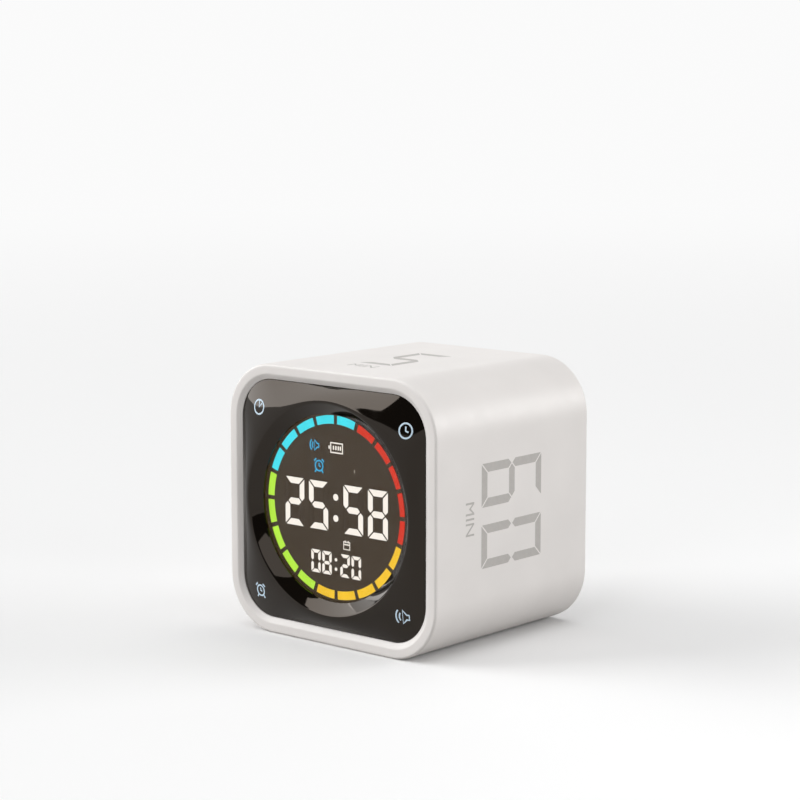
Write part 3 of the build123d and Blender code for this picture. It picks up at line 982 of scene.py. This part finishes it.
def sign_strokes(sign: Sign) -> list[Stroke]:
    """Lines of a sign, in shares of its height.

    Args:
        sign: The sign.

    Returns:
        Its lines.
    """
    if sign is Sign.GAUGE:
        return [Stroke(arc(0.45, 0, 345), True), Stroke([(0.0, 0.4), (0.0, 0.0), (0.24, 0.24)])]
    if sign is Sign.CLOCK:
        return [Stroke(arc(0.45, 0, 345), True), Stroke([(0.0, 0.26), (0.0, 0.0), (0.2, -0.08)])]
    if sign is Sign.ALARM:
        feet = [Stroke([(side * 0.25, -0.29), (side * 0.36, -0.45)]) for side in (1, -1)]
        ears = [Stroke([(side * 0.25, 0.46), (side * 0.44, 0.29)]) for side in (1, -1)]
        hands = Stroke([(0.0, 0.18), (0.0, 0.0), (0.13, -0.05)])
        return [Stroke(arc(0.34, 0, 345), True), hands, *feet, *ears]
    if sign is Sign.SOUND:
        horn = [(0.04, 0.42), (0.32, 0.15), (0.5, 0.15), (0.5, -0.15), (0.32, -0.15), (0.04, -0.42)]
        bows = ((0.36, 40), (0.6, 42))
        waves = [arc(radius, 180 - span, 180 + span, (0.16, 0.0), 10) for radius, span in bows]
        return [Stroke(horn, True), *(Stroke(wave) for wave in waves)]
    if sign is Sign.BATTERY:
        case = [(0.74, 0.42), (-0.62, 0.42), (-0.62, -0.42), (0.74, -0.42)]
        bars = [Stroke([(place, 0.17), (place, -0.17)]) for place in (-0.3, -0.02, 0.26, 0.5)]
        return [Stroke(case, True), Stroke([(-0.8, 0.14), (-0.8, -0.14)]), *bars]
    if sign is Sign.CALENDAR:
        page = [(0.42, 0.34), (-0.42, 0.34), (-0.42, -0.44), (0.42, -0.44)]
        pins = [Stroke([(side * 0.2, 0.48), (side * 0.2, 0.24)]) for side in (1, -1)]
        return [Stroke(page, True), Stroke([(-0.42, 0.06), (0.42, 0.06)]), *pins]
    return [Stroke([(0.0, 0.5), (0.0, -0.5)])]


@dataclass
class TouchKeys:
    """Frosted signs of the four touch keys, on the bezel's pillow."""

    bezel: Bezel
    size: float = 3.5
    width: float = 0.36
    thickness: float = 0.035
    places: dict[Sign, Point] = field(default_factory=lambda: {
        Sign.GAUGE: (-20.4, 20.3), Sign.CLOCK: (21.9, 19.4),
        Sign.ALARM: (-20.4, -20.8), Sign.SOUND: (21.0, -20.3),
    })

    def build(self, finishes: Finishes) -> None:
        """Build one sign in each corner."""
        for sign, centre in self.places.items():

            def place(across: float, rise: float, off: float, centre: Point = centre) -> Vector:
                """Point on the pillow, or a little off it."""
                a, b = centre[0] + across, centre[1] + rise
                return spot(a, self.bezel.surface(a, b) - off, b)

            piece = wire(sign_strokes(sign), self.size, self.width, self.thickness, place)
            settle(piece, "touch_" + sign.value, finishes.get("sign_frost"), Slot.WHITE)


@dataclass
class Display:
    """Window, mask, lit bars and digits, and the small signs between them."""

    mask_front: float = 2.4
    thickness: float = 0.06
    signs: tuple[tuple[Sign, str, Slot, Point, float, float], ...] = (
        (Sign.SOUND, "sign_blue", Slot.CYAN, (-6.2, 13.1), 2.7, 0.34),
        (Sign.BATTERY, "light_white", Slot.WHITE, (0.2, 13.1), 2.5, 0.38),
        (Sign.ALARM, "sign_blue", Slot.CYAN, (-4.8, 8.7), 3.3, 0.34),
        (Sign.CALENDAR, "light_white", Slot.WHITE, (3.2, -7.8), 2.1, 0.28),
        (Sign.TICK, "sign_dim", Slot.DARK, (5.5, 8.6), 0.8, 0.22),
    )

    def build(self, finishes: Finishes) -> None:
        """Build the small signs on the mask and dress the display's nodes."""
        for sign, finish, slot, centre, size, width in self.signs:

            def place(right: float, up: float, off: float, centre: Point = centre) -> Vector:
                """Point on the mask, or a little off it."""
                return spot(centre[0] + right, self.mask_front - off, centre[1] + up)

            piece = wire(sign_strokes(sign), size, width, self.thickness, place)
            settle(piece, "display_" + sign.value, finishes.get(finish), slot)
        nodes = {
            # The display mask's glow is painted light, standing in for light through the window.
            "display_window": "window_smoke", "display_mask": "mask_dark",
            "ring_red_bars": "light_red", "ring_amber_bars": "light_amber",
            "ring_green_bars": "light_green", "ring_cyan_bars": "light_cyan",
            # The dark digits glow with painted light, not with a lamp behind them.
            "time_digits_lit": "light_white", "time_digits_dark": "light_dark",
            "clock_digits_lit": "light_white", "clock_digits_dark": "light_dark",
        }
        dress(nodes, finishes)


@dataclass(frozen=True)
class Patch:
    """Flat place on a side, with its own directions."""

    centre: Vector
    right: Vector
    up: Vector
    normal: Vector

    def at(self, across: float, rise: float, off: float) -> Vector:
        """Point in metres from a place in millimetres on the patch."""
        return self.centre + (self.right * across + self.up * rise + self.normal * off) * MM


class Side(Enum):
    """Sides that carry a number of minutes, as the way that each faces."""

    RIGHT = (1, 0, 0)
    LEFT = (-1, 0, 0)
    TOP = (0, 0, 1)
    BASE = (0, 0, -1)


@dataclass(frozen=True)
class SegmentDigit:
    """Seven-segment digit with mitred corners."""

    width: float = 9.4
    height: float = 20.5
    stroke: float = 1.9
    gap: float = 0.32

    def outline(self, name: str) -> list[Point]:
        """Corners of one stroke.

        Args:
            name: Letter of the stroke, a at the top and on clockwise, g in the middle.

        Returns:
            Across and upwards of its corners.
        """
        w, h, t = self.width / 2, self.height / 2, self.stroke
        e = self.gap * math.sqrt(0.5)
        top = [(-w + e, h), (w - e, h), (w - t - e, h - t), (-w + t + e, h - t)]
        side = [(w, h - e), (w, t / 2 + e), (w - t / 2, e), (w - t, t / 2 + e), (w - t, h - t - e)]
        middle = [(-w + t / 2 + e, 0), (-w + t + e, t / 2), (w - t - e, t / 2)]
        middle += [(w - t / 2 - e, 0), (w - t - e, -t / 2), (-w + t + e, -t / 2)]
        shape, right, up = {
            "a": (top, 1, 1), "d": (top, 1, -1), "g": (middle, 1, 1),
            "b": (side, 1, 1), "c": (side, 1, -1), "e": (side, -1, -1), "f": (side, -1, 1),
        }[name]
        return [(across * right, rise * up) for across, rise in shape]


@dataclass
class SideNumerals:
    """Grey printed minutes on the four sides."""

    thickness: float = 0.02
    pitch: float = 13.2
    depth: float = 25.2
    word_depth: float = 11.1
    word_height: float = 2.75
    word_width: float = 7.2
    digit: SegmentDigit = SegmentDigit()
    lit: dict[str, str] = field(default_factory=lambda: {
        "0": "abcdef", "1": "bc", "3": "abgcd", "5": "afgcd", "6": "afgedc",
    })
    minutes: dict[Side, str] = field(default_factory=lambda: {
        Side.RIGHT: "60", Side.TOP: "5", Side.LEFT: "15", Side.BASE: "30",
    })

    def patch(self, side: Side, depth: float) -> Patch:
        """Place of a print on a side.

        Args:
            side: The side.
            depth: Depth of its middle behind the lip.

        Returns:
            The patch.
        """
        normal = Vector(side.value)
        up = Vector((0, 1, 0))
        centre = spot(0, depth, 0) + normal * (HOUSING_HIGH.z - HOUSING_LOW.z) / 2
        return Patch(centre, up.cross(normal), up, normal)

    def build(self, finishes: Finishes) -> None:
        """Print the minutes and their unit on each side."""
        for side, number in self.minutes.items():
            patch = self.patch(side, self.depth)
            bars = []
            for order, figure in enumerate(number):
                shift = (order - (len(number) - 1) / 2) * self.pitch
                for name in self.lit[figure]:
                    outline = self.digit.outline(name)
                    corners = [patch.at(across + shift, rise, 0) for across, rise in outline]
                    bars.append(plate(corners, patch.normal * self.thickness * MM))
            label = side.name.lower()
            settle(join(bars), "minutes_" + label, finishes.get("ink_grey"), Slot.KNOB)
            patch = self.patch(side, self.word_depth)
            word = lettering("MIN", self.word_height, self.thickness, patch.at, self.word_width)
            settle(word, "unit_" + label, finishes.get("ink_grey"), Slot.KNOB)


def lettering(
    words: str, height: float, thickness: float, place: Placer, width: float = 0.0,
) -> Piece:
    """Printed word, made a mesh and laid on a surface.

    Args:
        words: The word.
        height: Height of its capitals.
        thickness: How far it stands off the surface.
        place: Function from across, upwards and off the surface to a point of the shared frame.
        width: Width that it is drawn to, or 0 for its own.

    Returns:
        The piece.
    """
    clear_selection()
    bpy.ops.object.text_add()
    piece = bpy.context.object
    piece.data.body = words
    piece.data.extrude = 0.05  # any thickness: fit() gives the real one
    bpy.ops.object.convert(target="MESH")
    piece = bpy.context.object
    low = [min(vertex.co[axis] for vertex in piece.data.vertices) for axis in range(3)]
    high = [max(vertex.co[axis] for vertex in piece.data.vertices) for axis in range(3)]
    tall = height / (high[1] - low[1])
    wide = width / (high[0] - low[0]) if width else tall
    middle = ((low[0] + high[0]) / 2, (low[1] + high[1]) / 2)

    def fit(across: float, up: float, off: float) -> Vector:
        """Point of the word at its size and place."""
        share = (off - low[2]) / (high[2] - low[2])
        return place((across - middle[0]) * wide, (up - middle[1]) * tall, share * thickness)

    lay(piece, fit)
    close_up(piece)
    return piece


@dataclass
class RearPanel:
    """Rear cover with its screws, charging socket, power knob and marks."""

    back: float = 52.5
    screw_place: float = 22.0
    head_radius: float = 2.2
    head_depth: float = 50.6
    head_back: float = 52.2
    shank_radius: float = 1.1
    shank_depth: float = 40.3
    cross_width: float = 0.55
    cross_reach: float = 1.25
    cross_depth: float = 0.9
    tongue: Point = (-9.0, -12.5)
    tongue_half: float = 0.35
    contact_pitch: float = 0.5
    contact_width: float = 0.26
    contact_count: int = 12
    contact_front: float = 47.0
    contact_back: float = 51.4
    knob: Point = (9.0, -12.5)
    mark_rise: float = 4.6
    mark_shift: float = 3.1
    mark_height: float = 1.5
    mark_thickness: float = 0.02
    contact_thickness: float = 0.03
    head_sides: int = 40
    head_bevel: float = 0.3
    corners: tuple[Point, ...] = ((1, 1), (-1, 1), (-1, -1), (1, -1))

    def screw(self, across: float, level: float) -> Piece:
        """Cross-recess screw at one corner.

        Args:
            across: Its place.
            level: Its place.

        Returns:
            The piece.
        """
        clear_selection()
        tall = (self.head_back - self.head_depth) * MM
        middle = spot(across, (self.head_back + self.head_depth) / 2, level)
        bpy.ops.mesh.primitive_cylinder_add(
            vertices=self.head_sides, radius=self.head_radius * MM, depth=tall,
            location=middle, rotation=(math.radians(90), 0, 0),
        )
        piece = bpy.context.object
        bpy.ops.object.transform_apply(location=True, rotation=True, scale=True)
        mesh = edit(piece)
        bpy.ops.mesh.select_all(action="DESELECT")
        bpy.ops.mesh.select_mode(type="FACE")
        for face in mesh.faces:
            face.select_set(face.normal.y < -0.9)
        bpy.ops.mesh.inset(thickness=(self.head_radius - self.shank_radius) * MM)
        reach = (self.shank_depth - self.head_depth) * MM
        bpy.ops.mesh.extrude_region_move(TRANSFORM_OT_translate={"value": (0, reach, 0)})
        bpy.ops.mesh.select_all(action="DESELECT")
        mesh = bmesh.from_edit_mesh(piece.data)
        for face in mesh.faces:
            face.select_set(face.normal.y > 0.9 and face.calc_center_median().y > middle.y)
        bpy.ops.mesh.bevel(offset=self.head_bevel * MM, segments=3)
        bpy.ops.object.mode_set(mode="OBJECT")
        for turn in (0, 90):
            self.cut(piece, across, level, turn)
        close_up(piece, smooth=40.0)
        return piece

    def cut(self, piece: Piece, across: float, level: float, turn: float) -> None:
        """Cut one arm of the cross recess.

        Args:
            piece: The screw.
            across: Its place.
            level: Its place.
            turn: Turn of the arm in degrees.
        """
        long, short = self.cross_reach, self.cross_width / 2
        a, b = (long, short) if turn == 0 else (short, long)
        front = self.head_back - self.cross_depth
        outline = [spot(across + x * a, front, level + z * b) for x, z in self.corners]
        cutter = plate(outline, Vector((0, 2 * self.cross_depth * MM, 0)))
        clear_selection()
        bpy.context.view_layer.objects.active = piece
        piece.select_set(True)
        carve = piece.modifiers.new("cross", "BOOLEAN")
        carve.operation = "DIFFERENCE"
        carve.object = cutter
        bpy.ops.object.modifier_apply(modifier=carve.name)
        bpy.data.objects.remove(cutter)

    def contacts(self) -> Piece:
        """Gold contacts on both faces of the socket's tongue.

        Returns:
            The piece.
        """
        strips = []
        half, front, back = self.contact_width / 2, self.contact_front, self.contact_back
        ends = [(-half, front), (half, front), (half, back), (-half, back)]
        for face in (1, -1):
            level = self.tongue[1] + face * self.tongue_half
            lift = Vector((0, 0, face * self.contact_thickness * MM))
            for order in range(self.contact_count):
                across = self.tongue[0] + (order - (self.contact_count - 1) / 2) * self.contact_pitch
                strips.append(plate([spot(across + x, depth, level) for x, depth in ends], lift))
        return join(strips)

    def build(self, finishes: Finishes) -> None:
        """Build the screws, contacts and marks, and dress the panel's nodes."""
        steel = finishes.get("screw_steel")
        screws = [self.screw(x * self.screw_place, z * self.screw_place) for x, z in self.corners]
        settle(join(screws), "cover_screw_set", steel, Slot.SCREW, stands_for=["cover_screws"])
        settle(self.contacts(), "usb_contacts", finishes.get("contact_gold"), Slot.USB)
        right, up, normal = Vector((-1, 0, 0)), Vector((0, 0, 1)), Vector((0, 1, 0))
        for word, side in (("ON", 1), ("OFF", -1)):
            across, level = self.knob[0] + side * self.mark_shift, self.knob[1] + self.mark_rise
            patch = Patch(spot(across, self.back, level), right, up, normal)
            mark = lettering(word, self.mark_height, self.mark_thickness, patch.at)
            settle(mark, "mark_" + word.lower(), finishes.get("ink_grey"), Slot.KNOB)
        nodes = {
            "rear_cover": "shell_white", "usb_shell": "usb_steel", "usb_tongue": "tongue_black",
            "switch_case": "chip_black", "switch_lever": "chip_black", "power_knob": "knob_grey",
        }
        dress(nodes, finishes)


class Innards:
    """Pieces inside the housing, which keep their nodes."""

    NODES = {
        "bezel_tape": "foam_black", "display_board": "board_green", "display_leds": "led_package",
        "touch_rings": "touch_rubber", "display_screws": "screw_steel", "display_socket": "socket_ivory",
        "ribbon_cable": "ribbon_pale", "main_socket": "socket_ivory", "main_board": "board_green",
        "board_chips": "chip_black", "board_screws": "screw_steel", "battery_foam": "foam_black",
        "battery_cell": "battery_foil", "battery_plug": "socket_ivory", "battery_leads": "lead_red",
        "speaker_frame": "speaker_black", "speaker_cone": "cone_paper", "speaker_magnet": "magnet_steel",
        "speaker_gasket": "foam_black", "speaker_leads": "lead_red",
    }

    def build(self, finishes: Finishes) -> None:
        """Dress the inner nodes."""
        dress(self.NODES, finishes)


@dataclass(frozen=True)
class Sun:
    """Broad soft light from far away."""

    name: str
    towards: Triple
    strength: float
    spread: float

    def hang(self) -> None:
        """Hang the light."""
        data = bpy.data.lights.new(self.name, "SUN")
        data.energy = self.strength
        data.angle = math.radians(self.spread)
        hang(data, Vector((0.0, 0.0, 0.0)), Vector(self.towards))


@dataclass(frozen=True)
class Panel:
    """Rectangular soft box, as it stands round the timer.

    Azimuths are degrees from the front, to the right. Elevations are degrees above the floor.
    """

    name: str
    azimuths: Point
    elevations: Point
    radiance: float
    distance: float = 20.0

    def hang(self) -> None:
        """Hang the panel, facing the timer."""
        turn, rise = [math.radians(sum(span) / 2) for span in (self.azimuths, self.elevations)]
        wide, tall = [math.radians(span[1] - span[0]) for span in (self.azimuths, self.elevations)]
        flat = Vector((math.sin(turn), -math.cos(turn), 0.0)) * math.cos(rise)
        towards = flat + Vector((0.0, 0.0, math.sin(rise)))
        data = bpy.data.lights.new(self.name, "AREA")
        data.shape = "RECTANGLE"
        data.size = 2 * self.distance * math.tan(wide / 2) * math.cos(rise)
        data.size_y = 2 * self.distance * math.tan(tall / 2)
        data.energy = self.radiance * math.pi * data.size * data.size_y
        hang(data, towards * self.distance, towards).visible_camera = False


def hang(data: bpy.types.Light, place: Vector, towards: Vector) -> Piece:
    """Put a light in the scene.

    Args:
        data: The light.
        place: Where it stands.
        towards: Way from the timer to the light.

    Returns:
        Its object.
    """
    light = bpy.data.objects.new(data.name, data)
    light.location = place
    light.rotation_mode = "QUATERNION"
    light.rotation_quaternion = towards.to_track_quat("Z", "Y")
    bpy.context.scene.collection.objects.link(light)
    return light


@dataclass
class Studio:
    """Pale floor, soft light and the camera."""

    floor_radius: float = 12.0
    floor_rim: float = 0.4
    floor_rise: float = 0.1
    floor_drop: float = 0.02
    floor_sides: int = 96
    floor_colour: Colour = (250, 250, 250)
    floor_bounce: Colour = (165, 163, 161)
    floor_fade: Point = (0.3, 1.4)
    camera_place: Triple = (0.33872, -0.39326, 0.12744)
    camera_back: Triple = (0.64804, -0.74750, 0.14595)
    lens: float = 106.5
    sensor: float = 36.0
    clip: Point = (0.01, 100.0)
    lamps: tuple[Sun | Panel, ...] = (
        Sun("overhead", (0.05, -0.03, 0.95), 1.22, 80.0),
        Panel("softbox", (-72.0, -34.0), (0.5, 45.0), 4.25),
        Panel("left_bridge", (-84.0, -72.0), (12.0, 36.0), 2.6),
        Panel("left_panel", (-100.0, -84.0), (2.0, 25.0), 3.9),
        Panel("front_fill", (0.0, 26.0), (14.0, 45.0), 1.7),
        Panel("right_fill", (66.0, 104.0), (8.0, 36.0), 1.9, 0.45),
        Panel("rim_light", (122.0, 156.0), (5.0, 26.0), 5.5),
    )
    horizon: float = 0.96
    surroundings: float = 0.09
    backdrop_edge: Point = (0.86, 0.95)

    def build(self) -> None:
        """Build the floor, the light and the camera."""
        self.floor()
        self.sky()
        for lamp in self.lamps:
            lamp.hang()
        self.camera()
        bpy.context.scene.view_settings.view_transform = "Standard"

    def floor(self) -> None:
        """Build the pale floor with a low raised rim."""
        clear_selection()
        bpy.ops.mesh.primitive_circle_add(
            vertices=self.floor_sides, radius=self.floor_radius, fill_type="NGON",
        )
        piece = bpy.context.object
        edit(piece)
        bpy.ops.mesh.inset(thickness=self.floor_rim)
        mesh = bmesh.from_edit_mesh(piece.data)
        for vertex in mesh.verts:
            vertex.co.z = -self.floor_drop * MM if vertex.select else self.floor_rise
        bmesh.update_edit_mesh(piece.data)
        bpy.ops.object.mode_set(mode="OBJECT")
        piece.name = "floor"
        recipe = Recipe("floor_pale")
        seen = recipe.seen()
        stops = (0.0, linear(self.floor_bounce)), (1.0, linear(self.floor_colour))
        fade = combine(recipe.tree, "MULTIPLY", recipe.distance(*self.floor_fade), seen)
        mix = recipe.nodes.new("ShaderNodeMix")
        mix.data_type = "RGBA"
        recipe.links.new(fade, mix.inputs["Factor"])
        recipe.links.new(ramp(recipe.tree, seen, *stops), mix.inputs["A"])
        mix.inputs["B"].default_value = linear((0, 0, 0))
        recipe.feed(mix.outputs["Result"], "Base Color")
        recipe.feed(combine(recipe.tree, "MULTIPLY", fade, self.horizon), "Emission Strength")
        recipe.fix(Roughness=1.0, Specular_IOR_Level=0.0, Emission_Color=linear((255, 255, 255)))
        piece.data.materials.append(recipe.material)

    def sky(self) -> None:
        """Dim surroundings with a pale backdrop.

        The eye meets the backdrop on every side, and gloss meets it behind the timer.
        """
        world = bpy.data.worlds.new("surroundings")
        bpy.context.scene.world = world
        world.use_nodes = True
        tree = world.node_tree
        behind = tree.nodes.new("ShaderNodeVectorMath")
        behind.operation = "DOT_PRODUCT"
        behind.inputs[1].default_value = -Vector((*self.camera_back[:2], 0.0)).normalized()
        way = tree.nodes.new("ShaderNodeTexCoord").outputs["Generated"]
        tree.links.new(way, behind.inputs[0])
        greys = [(level, level, level, 1.0) for level in (self.surroundings, self.horizon)]
        backdrop = ramp(tree, behind.outputs["Value"], *zip(self.backdrop_edge, greys))
        path = tree.nodes.new("ShaderNodeLightPath").outputs
        straight = combine(tree, "MULTIPLY", path["Is Camera Ray"], self.horizon)
        light = combine(tree, "MAXIMUM", backdrop, straight)
        tree.links.new(light, tree.nodes["Background"].inputs["Color"])

    def camera(self) -> None:
        """Set the camera where the photographer stood."""
        data = bpy.data.cameras.new("camera")
        data.sensor_width = self.sensor
        data.lens = self.lens
        data.clip_start, data.clip_end = self.clip
        back = Vector(self.camera_back).normalized()
        right = Vector((0, 0, 1)).cross(back).normalized()
        up = back.cross(right)
        turn = Matrix((right, up, back)).transposed()
        camera = bpy.data.objects.new("camera", data)
        camera.matrix_world = Matrix.Translation(self.camera_place) @ turn.to_4x4()
        bpy.context.scene.collection.objects.link(camera)
        bpy.context.scene.camera = camera


def main() -> None:
    """Build the studio and every sub-assembly in order."""
    logging.basicConfig(level=logging.INFO, format="%(message)s")
    Studio().build()
    finishes = Finishes()
    bezel = Bezel()
    for assembly in (Housing(), bezel, TouchKeys(bezel), Display(), SideNumerals(), RearPanel(), Innards()):
        LOG.info("sub-assembly %s", type(assembly).__name__)
        assembly.build(finishes)


if __name__ == "__main__":
    main()
